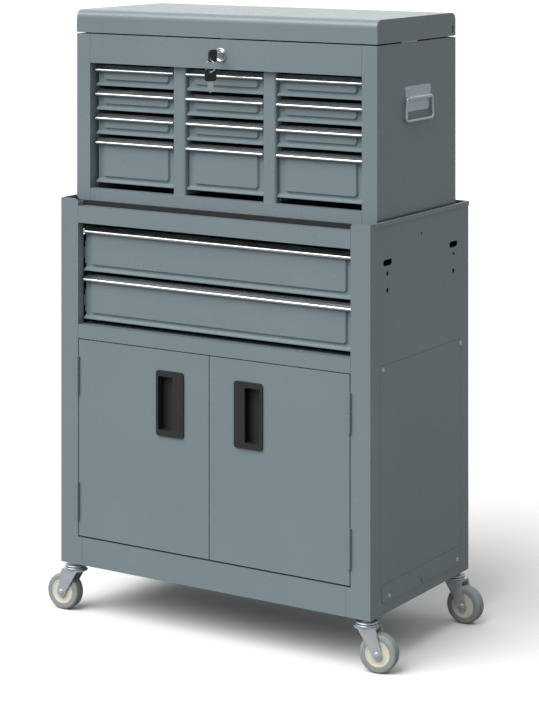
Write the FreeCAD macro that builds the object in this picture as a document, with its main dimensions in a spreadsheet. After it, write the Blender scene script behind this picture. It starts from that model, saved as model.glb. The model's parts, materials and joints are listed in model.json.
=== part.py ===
"""Steel tool trolley: lower cabinet with two large drawers and two doors, chest with twelve
small drawers and a hinged lid, on four swivel castors. Millimetres, +Z up, front towards -Y."""
import FreeCAD
import Part
import Sketcher

import math
import os

SIZES = {
    # Sheet metal and clearances
    "sheet": 1.2,
    "seam": 0.4,
    "running_gap": 0.3,
    # Lower cabinet
    "cabinet_width": 616.0,
    "cabinet_depth": 337.0,
    "cabinet_bottom": 85.8,
    "cabinet_top": 715.5,
    "post_width": 36.3,
    "post_return": 15.5,
    "post_corner": 7.0,
    "foot_width": 44.5,
    "rear_flange": 14.0,
    "rim_height": 8.0,
    "rim_proud": 1.4,
    "rim_corner": 1.1,
    "header_bottom": 674.5,
    "tray_top": 703.2,
    "mid_rail_bottom": 475.6,
    "mid_rail_top": 499.4,
    "mid_rail_depth": 40.0,
    "kick_rail_top": 133.5,
    "rail_fold": 12.0,
    "back_rib_width": 30.0,
    "back_rib_depth": 6.0,
    "mat_thickness": 4.3,
    "mat_rib": 1.5,
    "mat_rib_pitch": 11.5,
    # Doors
    "door_bottom": 136.5,
    "door_top_gap": 1.6,
    "door_side_gap": 1.9,
    "door_split": 1.6,
    "door_depth": 18.0,
    "hinge_radius": 2.7,
    "hinge_leaf": 0.7,
    "hinge_leaf_depth": 12.0,
    "hinge_length": 64.5,
    "hinge_low": 164.5,
    "hinge_high": 381.0,
    "pull_inner_edge": 50.5,
    "pull_width": 55.4,
    "pull_height": 109.6,
    "pull_low": 330.4,
    "pull_proud": 3.0,
    "pull_corner": 5.0,
    "mouth_margin": 4.5,
    "mouth_width": 29.5,
    "mouth_height": 90.5,
    "cup_depth": 14.5,
    "cup_wall": 2.0,
    "cup_undercut": 14.0,
    "catch_width": 44.0,
    "catch_height": 13.0,
    "catch_depth": 12.0,
    "catch_plate": 1.2,
    # Drawer front section, shared by all the drawers
    "bead_setback": 8.0,
    "trim_reach": 10.4,
    "trim_drop": 6.0,
    "trim_thickness": 2.2,
    "trim_leg": 1.6,
    "trim_leg_height": 9.0,
    "bead_radius": 2.7,
    "field_raise": 3.8,
    "field_bevel_angle": 32.0,
    "field_side_margin": 11.5,
    "field_bottom_margin": 8.8,
    "field_top_margin": 10.0,
    "field_corner": 4.5,
    "lip_reach": 7.0,
    "lip_rise": 6.6,
    "lip_nose": 1.8,
    "lip_back": 4.5,
    # Large drawers
    "large_top": 667.2,
    "large_pitch": 83.0,
    "large_height": 76.0,
    "large_half_width": 267.5,
    "large_pan_depth": 290.0,
    "large_pan_height": 58.0,
    "slide_height": 38.0,
    "slide_length": 280.0,
    "slide_member": 9.5,
    "slide_web_gap": 0.8,
    "slide_bracket_length": 26.0,
    # Chest
    "chest_width": 600.8,
    "chest_setback": 35.2,
    "chest_depth": 269.0,
    "chest_top": 997.6,
    "stile_width": 28.2,
    "stile_corner": 8.0,
    "chest_header_bottom": 947.5,
    "chest_rail_height": 21.3,
    "divider_offset": 90.3,
    "divider_width": 25.4,
    "divider_setback": 8.2,
    "divider_bend": 4.0,
    # Small drawers
    "small_top": 943.3,
    "small_pitch": 42.0,
    "small_height": 35.4,
    "deep_height": 77.3,
    "small_side_gap": 0.9,
    "small_post_gap": 5.4,
    "small_pan_depth": 226.0,
    "small_pan_height": 24.0,
    "deep_pan_height": 64.0,
    "pan_inset": 2.5,
    "pan_rise": 0.8,
    "runner_bearing": 6.0,
    "runner_leg": 8.0,
    "runner_front": 22.0,
    # Lid
    "lid_bottom": 999.8,
    "lid_top": 1039.0,
    "lid_bend": 13.0,
    "lid_wrap": 18.8,
    "lid_wrap_bottom": 1001.5,
    "lid_wrap_top": 1022.4,
    "lid_wrap_proud": 0.8,
    "lid_slot_setback": 10.2,
    "lid_slot_width": 4.0,
    "lid_slot_bottom": 1004.0,
    "lid_slot_top": 1018.0,
    "lid_hinge_radius": 2.5,
    "lid_hinge_height": 998.7,
    "lid_hinge_leaf": 0.9,
    "lid_hinge_segment": 160.0,
    "lid_hinge_reach": 11.0,
    # Lid stays
    "stay_width": 12.0,
    "stay_thickness": 1.6,
    "stay_gap": 0.3,
    "stay_body_y": 35.3,
    "stay_body_z": 985.4,
    "stay_lid_y": 34.9,
    "stay_lid_z": 1022.2,
    "stay_elbow_y": -46.9,
    "stay_elbow_z": 1003.8,
    "stay_rivet_radius": 3.0,
    "stay_rivet_head": 1.0,
    "stay_crop": 3.6,
    # Lock and keys
    "lock_height": 971.6,
    "lock_radius": 11.5,
    "lock_rim": 2.6,
    "lock_body_radius": 9.0,
    "lock_plug_radius": 7.0,
    "lock_plug_proud": 0.8,
    "lock_body_length": 20.0,
    "cam_claw_radius": 20.5,
    "cam_tip_radius": 25.0,
    "cam_arm_width": 9.0,
    "cam_thickness": 1.6,
    "cam_claw_rise": 10.5,
    "strike_width": 20.0,
    "strike_setback": 15.0,
    "strike_seat": 0.2,
    "strike_pin_rise": 16.2,
    "strike_pin_radius": 2.0,
    "strike_gap": 1.1,
    "key_reach": 36.0,
    "key_head_length": 22.5,
    "key_head_height": 20.5,
    "key_head_corner": 4.0,
    "key_head_thickness": 3.0,
    "key_blade_height": 8.6,
    "key_blade_thickness": 2.0,
    "key_depth": 16.0,
    "keyway_gap": 0.1,
    "key_hole_radius": 3.35,
    "key_hole_inset": 4.7,
    "ring_radius": 9.2,
    "ring_half_section": 0.55,
    "ring_yaw": 10.0,
    "spare_yaw": 48.0,
    "spare_head": 20.0,
    "spare_hole_inset": 4.7,
    "spare_thickness": 2.6,
    "spare_blade": 19.5,
    # Bail handles
    "bail_plate_bottom": 884.0,
    "bail_plate_top": 925.6,
    "bail_plate_bottom_width": 74.0,
    "bail_plate_top_width": 90.0,
    "bail_plate_thickness": 1.5,
    "bail_plate_corner": 6.0,
    "bail_axis_height": 905.5,
    "bail_axis_out": 4.5,
    "bail_barrel_radius": 3.4,
    "bail_barrel_length": 77.0,
    "bail_wire": 2.4,
    "bail_sides": 8,
    "bail_width": 97.0,
    "bail_drop": 36.5,
    "bail_stub": 12.0,
    "bail_upper_half_width": 42.6,
    "bail_upper_bend": 4.0,
    "bail_lower_bend": 6.0,
    "bail_middle": 134.5,
    "bore_gap": 0.08,
    # Castors
    "castor_inset_x": 17.0,
    "castor_inset_y": 19.0,
    "castor_plate": 2.5,
    "castor_channel": 36.0,
    "stem_radius": 5.5,
    "stem_nut_flats": 17.0,
    "stem_upper_nut": 6.0,
    "cup_radius": 17.5,
    "cup_bottom": 73.0,
    "cup_top": 79.8,
    "king_pin_radius": 4.0,
    "king_pin_nut_flats": 13.0,
    "king_pin_nut_height": 2.8,
    "fork_plate_top": 72.6,
    "fork_plate_corner": 7.0,
    "fork_plate": 3.0,
    "fork_half_gap": 12.6,
    "fork_cheek": 2.0,
    "fork_top_front": 13.0,
    "fork_top_rear": 19.0,
    "fork_foot_radius": 8.0,
    "axle_radius": 4.0,
    "axle_proud": 1.0,
    "wheel_radius": 31.0,
    "wheel_width": 22.0,
    "tyre_shoulder": 1.5,
    "tyre_shoulder_drop": 0.75,
    "castor_trail": 21.0,
    "castor_yaw_front_left": 183.4,
    "castor_yaw_front_right": 11.0,
    "castor_yaw_rear_left": 180.0,
    "castor_yaw_rear_right": 0.0,
    # Side panels and their cut-outs
    "access_front": 32.0,
    "access_rear": 310.0,
    "access_bottom": 133.5,
    "access_top": 485.0,
    "access_ledge": 12.0,
    "strip_front": 36.0,
    "strip_rear": 314.0,
    "strip_bottom": 103.7,
    "strip_top": 131.0,
    "strip_corner": 8.0,
    "strip_bump_radius": 9.0,
    "strip_bump_proud": 1.5,
    "slot_front": 56.3,
    "slot_rear": 282.3,
    "slot_length": 29.0,
    "slot_height": 10.0,
    "slot_level": 648.5,
    "side_hole_radius": 4.0,
    "side_hole_upper": 631.0,
    "side_hole_lower": 603.7,
    "earth_hole_radius": 2.5,
    "earth_hole_y": 170.3,
    "earth_hole_level": 680.9,
}

document = FreeCAD.newDocument("tool_trolley")
sheet = document.addObject("Spreadsheet::Sheet", "Sizes")


class Size:
    """A length: its value now, and the formula that ties it to the sheet."""

    def __init__(self, value, text):
        self.value = value
        self.text = text

    def __add__(self, other):
        return Size(self.value + value_of(other), "(%s + %s)" % (self.text, text_of(other)))

    def __radd__(self, other):
        return Size(value_of(other) + self.value, "(%s + %s)" % (text_of(other), self.text))

    def __sub__(self, other):
        return Size(self.value - value_of(other), "(%s - %s)" % (self.text, text_of(other)))

    def __rsub__(self, other):
        return Size(value_of(other) - self.value, "(%s - %s)" % (text_of(other), self.text))

    def __mul__(self, other):
        return Size(self.value * value_of(other), "(%s * %s)" % (self.text, text_of(other)))

    def __rmul__(self, other):
        return Size(value_of(other) * self.value, "(%s * %s)" % (text_of(other), self.text))

    def __truediv__(self, other):
        return Size(self.value / value_of(other), "(%s / %s)" % (self.text, text_of(other)))

    def __neg__(self):
        return Size(-self.value, "(0 - %s)" % self.text)


def value_of(size):
    return size.value if isinstance(size, Size) else float(size)


def text_of(size):
    return size.text if isinstance(size, Size) else "(%r)" % float(size)


class Cells:
    """The sheet's cells by name, each as a Size."""


def fill_sheet():
    cells = Cells()
    for row, (name, value) in enumerate(SIZES.items(), start=1):
        sheet.set("A%d" % row, name)
        sheet.set("B%d" % row, repr(value))
        sheet.setAlias("B%d" % row, name)
        setattr(cells, name, Size(value, "Sizes.%s" % name))
    document.recompute()
    return cells


s = fill_sheet()


def bind(thing, name, size):
    """Set a property of an object and tie it to the sheet."""
    if name.startswith("Placement") or name.startswith("AttachmentOffset"):
        thing.setExpression(name, text_of(size))
        return
    setattr(thing, name, value_of(size))
    if isinstance(size, Size):
        thing.setExpression(name, size.text)


def ordered(first, second):
    return (first, second) if value_of(first) <= value_of(second) else (second, first)


nodes = {}
UP = FreeCAD.Vector(0, 0, 1)


def new_body(label):
    """A named piece of the trolley."""
    body = document.addObject("PartDesign::Body", label)
    body.Label = label
    nodes[label] = body
    return body


def origin_plane(body, role):
    return [feature for feature in body.Origin.OriginFeatures if feature.Role == role + "_Plane"][0]


def origin_axis(body, role):
    return [feature for feature in body.Origin.OriginFeatures if feature.Role == role + "_Axis"][0]


def direction(start, end):
    """The unit step from one point towards another."""
    across = value_of(end[0]) - value_of(start[0])
    along = value_of(end[1]) - value_of(start[1])
    length = math.hypot(across, along)
    return across / length, along / length


def trimmed_corner(before, corner, after):
    """The two tangent points and the centre of a rounded corner."""
    radius = corner[2]
    back = direction(corner, before)
    ahead = direction(corner, after)
    half_angle = math.acos(back[0] * ahead[0] + back[1] * ahead[1]) / 2
    trim = radius * (1 / math.tan(half_angle))
    entry = (corner[0] + back[0] * trim, corner[1] + back[1] * trim)
    leave = (corner[0] + ahead[0] * trim, corner[1] + ahead[1] * trim)
    bisector = (back[0] + ahead[0], back[1] + ahead[1])
    reach = value_of(radius) / math.sin(half_angle) / math.hypot(*bisector)
    centre = (value_of(corner[0]) + bisector[0] * reach, value_of(corner[1]) + bisector[1] * reach)
    return entry, leave, centre


def flat(point):
    return FreeCAD.Vector(value_of(point[0]), value_of(point[1]), 0)


class Drawing:
    """The edges and constraints of one sketch, handed over to it in one go."""

    def __init__(self):
        self.edges = []
        self.constraints = []
        self.formulas = []

    def draw(self, edge):
        self.edges.append(edge)
        return len(self.edges) - 1

    def fix(self, kind, *places, size=None):
        """Add a constraint, tied to the sheet where its size is a formula."""
        if size is None:
            self.constraints.append(Sketcher.Constraint(kind, *places))
            return
        if isinstance(size, Size):
            self.formulas.append((len(self.constraints), size.text))
        self.constraints.append(Sketcher.Constraint(kind, *places, value_of(size)))

    def place_vertex(self, edge, vertex, point):
        self.fix("DistanceX", -1, 1, edge, vertex, size=point[0])
        self.fix("DistanceY", -1, 1, edge, vertex, size=point[1])

    def circle(self, centre, radius):
        edge = self.draw(Part.Circle(flat(centre), UP, value_of(radius)))
        self.place_vertex(edge, 3, centre)
        self.fix("Radius", edge, size=radius)

    def corner(self, entry, leave, centre, radius):
        """The arc of a rounded corner: its edge, and which vertex comes first."""
        first = math.atan2(value_of(entry[1]) - centre[1], value_of(entry[0]) - centre[0])
        second = math.atan2(value_of(leave[1]) - centre[1], value_of(leave[0]) - centre[0])
        forward = (second - first) % (2 * math.pi) < math.pi
        start, end = (first, second) if forward else (second, first)
        if end < start:
            end += 2 * math.pi
        circle = Part.Circle(flat(centre), UP, value_of(radius))
        edge = self.draw(Part.ArcOfCircle(circle, start, end))
        vertices = (1, 2) if forward else (2, 1)
        self.place_vertex(edge, vertices[0], entry)
        self.fix("Radius", edge, size=radius)
        return (edge,) + vertices

    def chain(self, points, closed=True):
        """A chain of lines. A point with a third value is a corner rounded by that radius."""
        count = len(points)
        stations = []
        for index, point in enumerate(points):
            if len(point) == 3:
                entry, leave, centre = trimmed_corner(points[index - 1], point, points[(index + 1) % count])
                stations.append((entry, leave, centre, point[2]))
            else:
                stations.append((point, point, None, None))
        pieces = []
        for index, (entry, leave, centre, radius) in enumerate(stations):
            if centre is not None:
                pieces.append(self.corner(entry, leave, centre, radius))
            following = stations[(index + 1) % count][0]
            at_end = not closed and index == count - 1
            if at_end or flat(leave).distanceToPoint(flat(following)) < 1e-6:
                continue
            edge = self.draw(Part.LineSegment(flat(leave), flat(following)))
            pieces.append((edge, 1, 2))
            self.place_vertex(edge, 1, leave)
        joints = len(pieces) if closed else len(pieces) - 1
        for index in range(joints):
            edge, _, last = pieces[index]
            next_edge, first, _ = pieces[(index + 1) % len(pieces)]
            self.fix("Coincident", edge, last, next_edge, first)
        if not closed:
            self.place_vertex(pieces[-1][0], 2, points[-1])


def sketch_on(body, plane, level, outlines, closed=True):
    """A sketch parallel to an origin plane. An outline that is a tuple is a circle."""
    drawing = Drawing()
    for outline in outlines:
        if isinstance(outline, tuple):
            drawing.circle(*outline)
        else:
            drawing.chain(outline, closed)
    sketch = body.newObject("Sketcher::SketchObject", body.Name + "_sketch")
    sketch.AttachmentSupport = [(origin_plane(body, plane), "")]
    sketch.MapMode = "FlatFace"
    offset = -level if plane == "XZ" else level
    sketch.AttachmentOffset = FreeCAD.Placement(
        FreeCAD.Vector(0, 0, value_of(offset)), FreeCAD.Rotation())
    if isinstance(offset, Size):
        sketch.setExpression("AttachmentOffset.Base.z", offset.text)
    sketch.addGeometry(drawing.edges)
    sketch.addConstraint(drawing.constraints)
    for index, text in drawing.formulas:
        sketch.setExpression("Constraints[%d]" % index, text)
    return sketch


def add(body, plane, low, high, *outlines, taper=None):
    """Add material between two levels of a plane's normal axis."""
    low, high = ordered(low, high)
    sketch = sketch_on(body, plane, high if plane == "XZ" else low, outlines)
    pad = body.newObject("PartDesign::Pad", body.Name + "_pad")
    pad.Profile = sketch
    bind(pad, "Length", high - low)
    if taper is not None:
        bind(pad, "TaperAngle", taper)
    return pad


def cut(body, plane, low, high, *outlines):
    """Remove material between two levels of a plane's normal axis."""
    low, high = ordered(low, high)
    sketch = sketch_on(body, plane, low if plane == "XZ" else high, outlines)
    pocket = body.newObject("PartDesign::Pocket", body.Name + "_pocket")
    pocket.Profile = sketch
    bind(pocket, "Length", high - low)
    return pocket


def turn(body, plane, outline, axis="V_Axis"):
    """Revolve an outline about one of its sketch's axes."""
    sketch = sketch_on(body, plane, 0.0, [outline])
    revolution = body.newObject("PartDesign::Revolution", body.Name + "_turned")
    revolution.Profile = sketch
    revolution.ReferenceAxis = (sketch, [axis])
    revolution.Angle = 360
    return revolution


def rectangle(left, right, bottom, top, corner=None):
    left, right = ordered(left, right)
    bottom, top = ordered(bottom, top)
    corners = [(left, bottom), (right, bottom), (right, top), (left, top)]
    if corner is None:
        return corners
    return [point + (corner,) for point in corners]


def regular(centre, flats, sides=6):
    """A regular outline by its width across the flats, such as a nut's."""
    reach = flats / (2 * math.cos(math.pi / sides))
    outline = []
    for index in range(sides):
        turned = (index + 0.5) * 2 * math.pi / sides
        outline.append((centre[0] + reach * math.cos(turned), centre[1] + reach * math.sin(turned)))
    return outline


def box(body, xs, ys, zs):
    """Add a rectangular block between pairs of limits."""
    return add(body, "XY", *ordered(*zs), rectangle(*xs, *ys))


def folded(points, thickness):
    """The outline of a sheet folded at right angles: its outer line, thickened to the left."""
    count = len(points)
    steps = [direction(points[i], points[i + 1]) for i in range(count - 1)]
    lefts = [(-round(step[1]), round(step[0])) for step in steps]
    inner = []
    for index, point in enumerate(points):
        near = lefts[max(index - 1, 0)]
        far = lefts[min(index, count - 2)]
        shift = (near[0] + far[0], near[1] + far[1])
        if near == far:
            shift = near
        inner.append((point[0] + shift[0] * thickness, point[1] + shift[1] * thickness))
    return list(points) + inner[::-1]


def locate(body, x, y, z, axis=(0, 0, 1), angle=0.0):
    """Place a piece that was modelled about its own reference point."""
    turned = FreeCAD.Rotation(FreeCAD.Vector(*axis), value_of(angle))
    body.Placement = FreeCAD.Placement(FreeCAD.Vector(value_of(x), value_of(y), value_of(z)), turned)
    for letter, size in zip("xyz", (x, y, z)):
        if isinstance(size, Size):
            body.setExpression("Placement.Base.%s" % letter, size.text)
    if isinstance(angle, Size):
        body.setExpression("Placement.Rotation.Angle", angle.text)


# Shared levels of the lower cabinet

half_width = s.cabinet_width / 2
front = -s.cabinet_depth / 2
rear = s.cabinet_depth / 2
inner_side = half_width - s.sheet
post_edge = half_width - s.post_width
foot_edge = half_width - s.foot_width
post_back = front + s.post_return
rim_bottom = s.cabinet_top - s.rim_height
back_front = rear - 2 * s.sheet
hole_front = front + s.slot_front
hole_rear = front + s.slot_rear


def cabinet_side(label, side):
    """A side panel with its front post folded from the same sheet, and its cut-outs."""
    body = new_body(label)
    upper = folded([
        (side * post_edge, post_back),
        (side * post_edge, front),
        (side * half_width, front),
        (side * half_width, rear),
        (side * (half_width - s.rear_flange), rear),
    ], side * s.sheet)
    lower = folded([
        (side * foot_edge, front),
        (side * half_width, front),
        (side * half_width, rear),
        (side * (half_width - s.rear_flange), rear),
    ], side * s.sheet)
    add(body, "XY", s.kick_rail_top, s.cabinet_top, upper)
    add(body, "XY", s.cabinet_bottom, s.kick_rail_top, lower)
    outer = side * (half_width + s.rim_proud)
    rim_inner = side * (half_width - s.sheet)
    rim = [
        (rim_inner, rim_bottom),
        (outer, rim_bottom, s.rim_corner),
        (outer, s.cabinet_top, s.rim_corner),
        (rim_inner, s.cabinet_top),
    ]
    add(body, "XZ", post_back, rear, rim)
    ledge = access_outline(s.access_ledge)
    frame = rectangle(
        front + s.access_front - s.access_ledge, front + s.access_rear + s.access_ledge,
        s.access_bottom + s.seam, s.access_top + s.access_ledge)
    add(body, "YZ", side * inner_side, side * (inner_side - s.sheet), frame)
    cut(body, "YZ", side * inner_side, side * (half_width + s.sheet), access_outline(0.0))
    cut(body, "YZ", side * inner_side, side * (inner_side - 2 * s.sheet), ledge)
    slots = []
    for middle in (hole_front, hole_rear):
        ends = s.slot_height / 2 - 0.05
        slots.append(rectangle(
            middle - s.slot_length / 2, middle + s.slot_length / 2,
            s.slot_level - s.slot_height / 2, s.slot_level + s.slot_height / 2, ends))
        slots.append(((middle, s.side_hole_upper), s.side_hole_radius))
        slots.append(((middle, s.side_hole_lower), s.side_hole_radius))
    slots.append(((front + s.earth_hole_y, s.earth_hole_level), s.earth_hole_radius))
    cut(body, "YZ", side * (inner_side - s.sheet), side * (half_width + s.sheet), *slots)
    round_post(body, side)
    return body


def round_post(body, side):
    """Round the inner top corner of a front post."""
    top = s.cabinet_top
    radius = s.post_corner
    edge = side * post_edge
    reach = side * (post_edge + radius)
    corner = [
        (edge - side * radius, top - radius),
        (edge, top - radius),
        (edge, top, radius),
        (reach, top),
        (reach, top + radius),
        (edge - side * radius, top + radius),
    ]
    cut(body, "XZ", front - s.sheet, post_back + s.sheet, corner)


def access_outline(inset):
    return rectangle(
        front + s.access_front + inset, front + s.access_rear - inset,
        s.access_bottom + inset, s.access_top - inset)


def cabinet_back():
    """The rear panel inside the side panels' rear flanges, with a rolled rim and two ribs."""
    body = new_body("cabinet_back")
    across = inner_side - s.seam
    box(body, (-across, across), (back_front, rear - s.sheet), (s.cabinet_bottom, s.cabinet_top))
    rim_front = rear - s.sheet
    rim_back = rear + s.rim_proud / 2
    flange_edge = half_width - s.rear_flange - s.seam
    rim = rectangle(rim_front, rim_back, rim_bottom, s.cabinet_top, s.rim_corner / 2)
    add(body, "YZ", -flange_edge, flange_edge, rim)
    for side in (-1, 1):
        middle = side * half_width / 2
        rib = rectangle(
            middle - s.back_rib_width / 2, middle + s.back_rib_width / 2,
            s.kick_rail_top + s.back_rib_width, s.header_bottom - s.back_rib_width)
        add(body, "XZ", back_front - s.back_rib_depth, back_front, rib)
        channel = rectangle(
            middle - s.back_rib_width / 2 + s.sheet, middle + s.back_rib_width / 2 - s.sheet,
            s.kick_rail_top + s.back_rib_width + s.sheet, s.header_bottom - s.back_rib_width - s.sheet)
        cut(body, "XZ", back_front - s.back_rib_depth + s.sheet, rear, channel)
    return body


def cabinet_base():
    """The floor and bottom rail folded from one sheet, on two channels that carry the castors."""
    body = new_body("cabinet_base")
    floor_under = s.kick_rail_top - s.sheet
    floor_rear = back_front - s.seam
    across = inner_side
    apron = foot_edge - s.seam
    box(body, (-across, across), (front + s.sheet, floor_rear), (floor_under, s.kick_rail_top))
    box(body, (-apron, apron), (front, front + s.sheet), (s.cabinet_bottom, s.kick_rail_top))
    plate_top = s.cabinet_bottom + s.castor_plate
    for edge, turned in ((front + s.sheet, 1), (floor_rear, -1)):
        inner = edge + turned * s.castor_channel
        web = inner - turned * s.castor_plate
        box(body, (-across, across), (edge, inner), (s.cabinet_bottom, plate_top))
        box(body, (-across, across), (web, inner), (plate_top, floor_under))
    holes = [((x, y), s.stem_radius) for x, y in castor_places()]
    cut(body, "XY", s.cabinet_bottom - s.sheet, plate_top + s.sheet, *holes)
    return body


def castor_places():
    across = half_width - s.castor_inset_x
    along = s.cabinet_depth / 2 - s.castor_inset_y
    return [(side * across, end * along) for end in (-1, 1) for side in (-1, 1)]


def mid_rail():
    """The rail between the drawers and the doors, a channel between the two posts."""
    body = new_body("mid_rail")
    across = post_edge - s.seam
    profile = folded([
        (front + s.rail_fold, s.mid_rail_bottom),
        (front, s.mid_rail_bottom),
        (front, s.mid_rail_top),
        (front + s.mid_rail_depth, s.mid_rail_top),
    ], -s.sheet)
    add(body, "YZ", -across, across, profile)
    return body


def top_tray():
    """The tray floor and the drawer header folded from one sheet, round the two posts."""
    body = new_body("top_tray")
    across = post_edge - s.seam
    under = s.tray_top - s.sheet
    profile = folded([
        (front + s.rail_fold, s.header_bottom),
        (front, s.header_bottom),
        (front, s.tray_top),
        (post_back + s.seam, s.tray_top),
    ], -s.sheet)
    add(body, "YZ", -across, across, profile)
    box(body, (-inner_side, inner_side), (post_back + s.seam, back_front - s.seam), (under, s.tray_top))
    return body


def tray_mat():
    """The ribbed rubber mat on the tray, with ribs that run from side to side."""
    body = new_body("tray_mat")
    across = inner_side - s.seam
    mat_front = post_back + s.seam
    mat_back = back_front - s.seam
    mat_top = s.tray_top + s.mat_thickness
    box(body, (-across, across), (mat_front, mat_back), (s.tray_top, mat_top))
    pitch = s.mat_rib_pitch
    count = int(value_of((mat_back - mat_front) / pitch))
    middle = (mat_front + mat_back) / 2
    start = middle - (count - 1) / 2 * pitch - pitch / 4
    first = rectangle(start, start + pitch / 2, mat_top, mat_top + s.mat_rib)
    rib = add(body, "YZ", -across, across, first)
    ribs = body.newObject("PartDesign::LinearPattern", "tray_mat_ribs")
    ribs.Originals = [rib]
    ribs.Direction = (origin_axis(body, "Y"), [""])
    ribs.Occurrences = count
    bind(ribs, "Length", (count - 1) * pitch)
    body.Tip = ribs
    return body


# Drawer slides of the two large drawers

pan_edge = s.large_half_width - s.slide_member
web_outer = post_edge - s.seam


def slide_levels(index):
    """The height of a large drawer's slides."""
    bottom = s.large_top - index * s.large_pitch - s.large_height + s.pan_rise
    return bottom + s.large_pan_height / 2


def slide_sections(body, web, reach, middles, half_height, length):
    """Slide members on both sides, each a web with two flanges that reach towards one side."""
    edge = web + reach
    inner = web + (1 if value_of(reach) > 0 else -1) * s.sheet
    outlines = []
    for middle in middles:
        top = middle + half_height
        bottom = middle - half_height
        for side in (-1, 1):
            outlines.append([
                (side * edge, bottom),
                (side * web, bottom),
                (side * web, top),
                (side * edge, top),
                (side * edge, top - s.sheet),
                (side * inner, top - s.sheet),
                (side * inner, bottom + s.sheet),
                (side * edge, bottom + s.sheet),
            ])
    add(body, "XZ", slide_front, slide_front + length, *outlines)


slide_front = front + s.bead_setback + s.trim_reach + s.sheet + s.seam


def large_slide_rails():
    """The fixed slide members, each held off the side panel by two brackets."""
    body = new_body("large_slide_rails")
    middles = [slide_levels(index) for index in range(2)]
    slide_sections(body, web_outer, -s.slide_member - s.sheet, middles, s.slide_height / 2, s.slide_length)
    foot = inner_side - s.sheet
    for along in (0, 1):
        start = slide_front + along * (s.slide_length - s.slide_bracket_length)
        end = start + s.slide_bracket_length
        web = web_outer + s.sheet
        slide_brackets(body, middles, (web_outer, web), (start, end))
        slide_brackets(body, middles, (web, foot), (start, start + s.sheet))
        slide_brackets(body, middles, (foot, inner_side), (start, end))
    return body


def slide_brackets(body, middles, across, along):
    """One fold of every bracket, between the side panels and the slides."""
    half = s.slide_height / 4
    outlines = []
    for middle in middles:
        for side in (-1, 1):
            outlines.append(rectangle(side * across[0], side * across[1], middle - half, middle + half))
    add(body, "XZ", along[0], along[1], *outlines)


def slide_intermediate(label, index):
    """The two members between the fixed rails and a large drawer."""
    body = new_body(label)
    web = web_outer - s.sheet - s.slide_web_gap
    half = s.slide_height / 2 - s.sheet - s.running_gap
    slide_sections(body, web, -s.slide_member + s.slide_web_gap, [slide_levels(index)], half, s.slide_length)
    return body


def drawer_front(body, left, right, top, bottom, face):
    """A painted drawer front: a sheet with a raised field and a lip flared forward."""
    back = face + s.sheet
    profile = [
        (face, top - s.trim_thickness),
        (face, bottom + s.lip_rise),
        (face - s.lip_reach, bottom + s.lip_nose),
        (face - s.lip_reach, bottom),
        (back, bottom + s.lip_back),
        (back, top - s.trim_thickness),
    ]
    add(body, "YZ", left, right, profile)
    low = bottom + s.field_bottom_margin
    high = top - s.field_top_margin
    near = left + s.field_side_margin
    far = right - s.field_side_margin
    corner = s.field_corner
    field = [
        (near, low + corner),
        (near + corner, low),
        (far - corner, low),
        (far, low + corner),
        (far, high),
        (near, high),
    ]
    add(body, "XZ", face - s.field_raise, face, field, taper=-s.field_bevel_angle)


def drawer_trim(body, left, right, top, face):
    """The aluminium pull along the top of a drawer: a sloping plate that ends in a round nose."""
    tip = face - s.trim_reach
    bead = tip + s.bead_radius
    drop = top - s.trim_drop
    under = drop - 2 * s.bead_radius
    profile = [
        (face + s.sheet, top),
        (face + s.sheet, top - s.trim_thickness),
        (face, top - s.trim_thickness),
        (face, top - s.trim_leg_height),
        (face - s.trim_leg, top - s.trim_leg_height),
        (face - s.trim_leg, top - s.trim_thickness - 0.5 * s.trim_leg),
        (bead, drop - s.trim_thickness),
        (bead, under),
        (tip, under, s.bead_radius),
        (tip, drop, s.bead_radius),
        (bead, drop),
    ]
    add(body, "YZ", left, right, profile)


def drawer_pan(body, left, right, start, depth, bottom, height):
    """The open sheet-metal tray behind a drawer front."""
    wall = s.sheet
    box(body, (left, right), (start, start + depth), (bottom, bottom + height))
    cut(body, "XY", bottom + wall, bottom + height + wall,
        rectangle(left + wall, right - wall, start + wall, start + depth - wall))


large_face = front + s.bead_setback + s.trim_reach


def large_drawer(label, index):
    """A large drawer with its two inner slide members."""
    body = new_body(label)
    top = s.large_top - index * s.large_pitch
    bottom = top - s.large_height
    edge = s.large_half_width
    drawer_front(body, -edge, edge, top, bottom, large_face)
    start = large_face + s.sheet
    drawer_pan(body, -pan_edge, pan_edge, start, s.large_pan_depth, bottom + s.pan_rise, s.large_pan_height)
    half = s.slide_height / 2 - 2 * s.sheet - 2 * s.running_gap
    reach = s.slide_member - s.sheet - s.seam
    slide_sections(body, pan_edge, reach, [slide_levels(index)], half, s.slide_length)
    return body


def large_trim(label, index):
    body = new_body(label)
    top = s.large_top - index * s.large_pitch
    edge = s.large_half_width
    drawer_trim(body, -edge, edge, top, large_face)
    return body


# Doors

hinge_x = post_edge - s.door_side_gap / 2
hinge_y = front - s.hinge_radius - s.running_gap
hinge_starts = (s.hinge_low, s.hinge_high)


def hinge_knuckle(body, sides, low, high):
    add(body, "XY", low, high, *[((side * hinge_x, hinge_y), s.hinge_radius) for side in sides])


def door_hinge_frames():
    """The fixed lower halves of the four lift-off hinges: a knuckle and its leaf."""
    body = new_body("door_hinge_frames")
    leaf = post_edge - s.hinge_leaf
    both = (-1, 1)
    for start in hinge_starts:
        end = start + s.hinge_length / 2 - s.running_gap
        hinge_knuckle(body, both, start, end)
        add(body, "XY", start, end,
            *[rectangle(side * leaf, side * post_edge, hinge_y, front + s.hinge_leaf_depth) for side in both])
    return body


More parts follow.
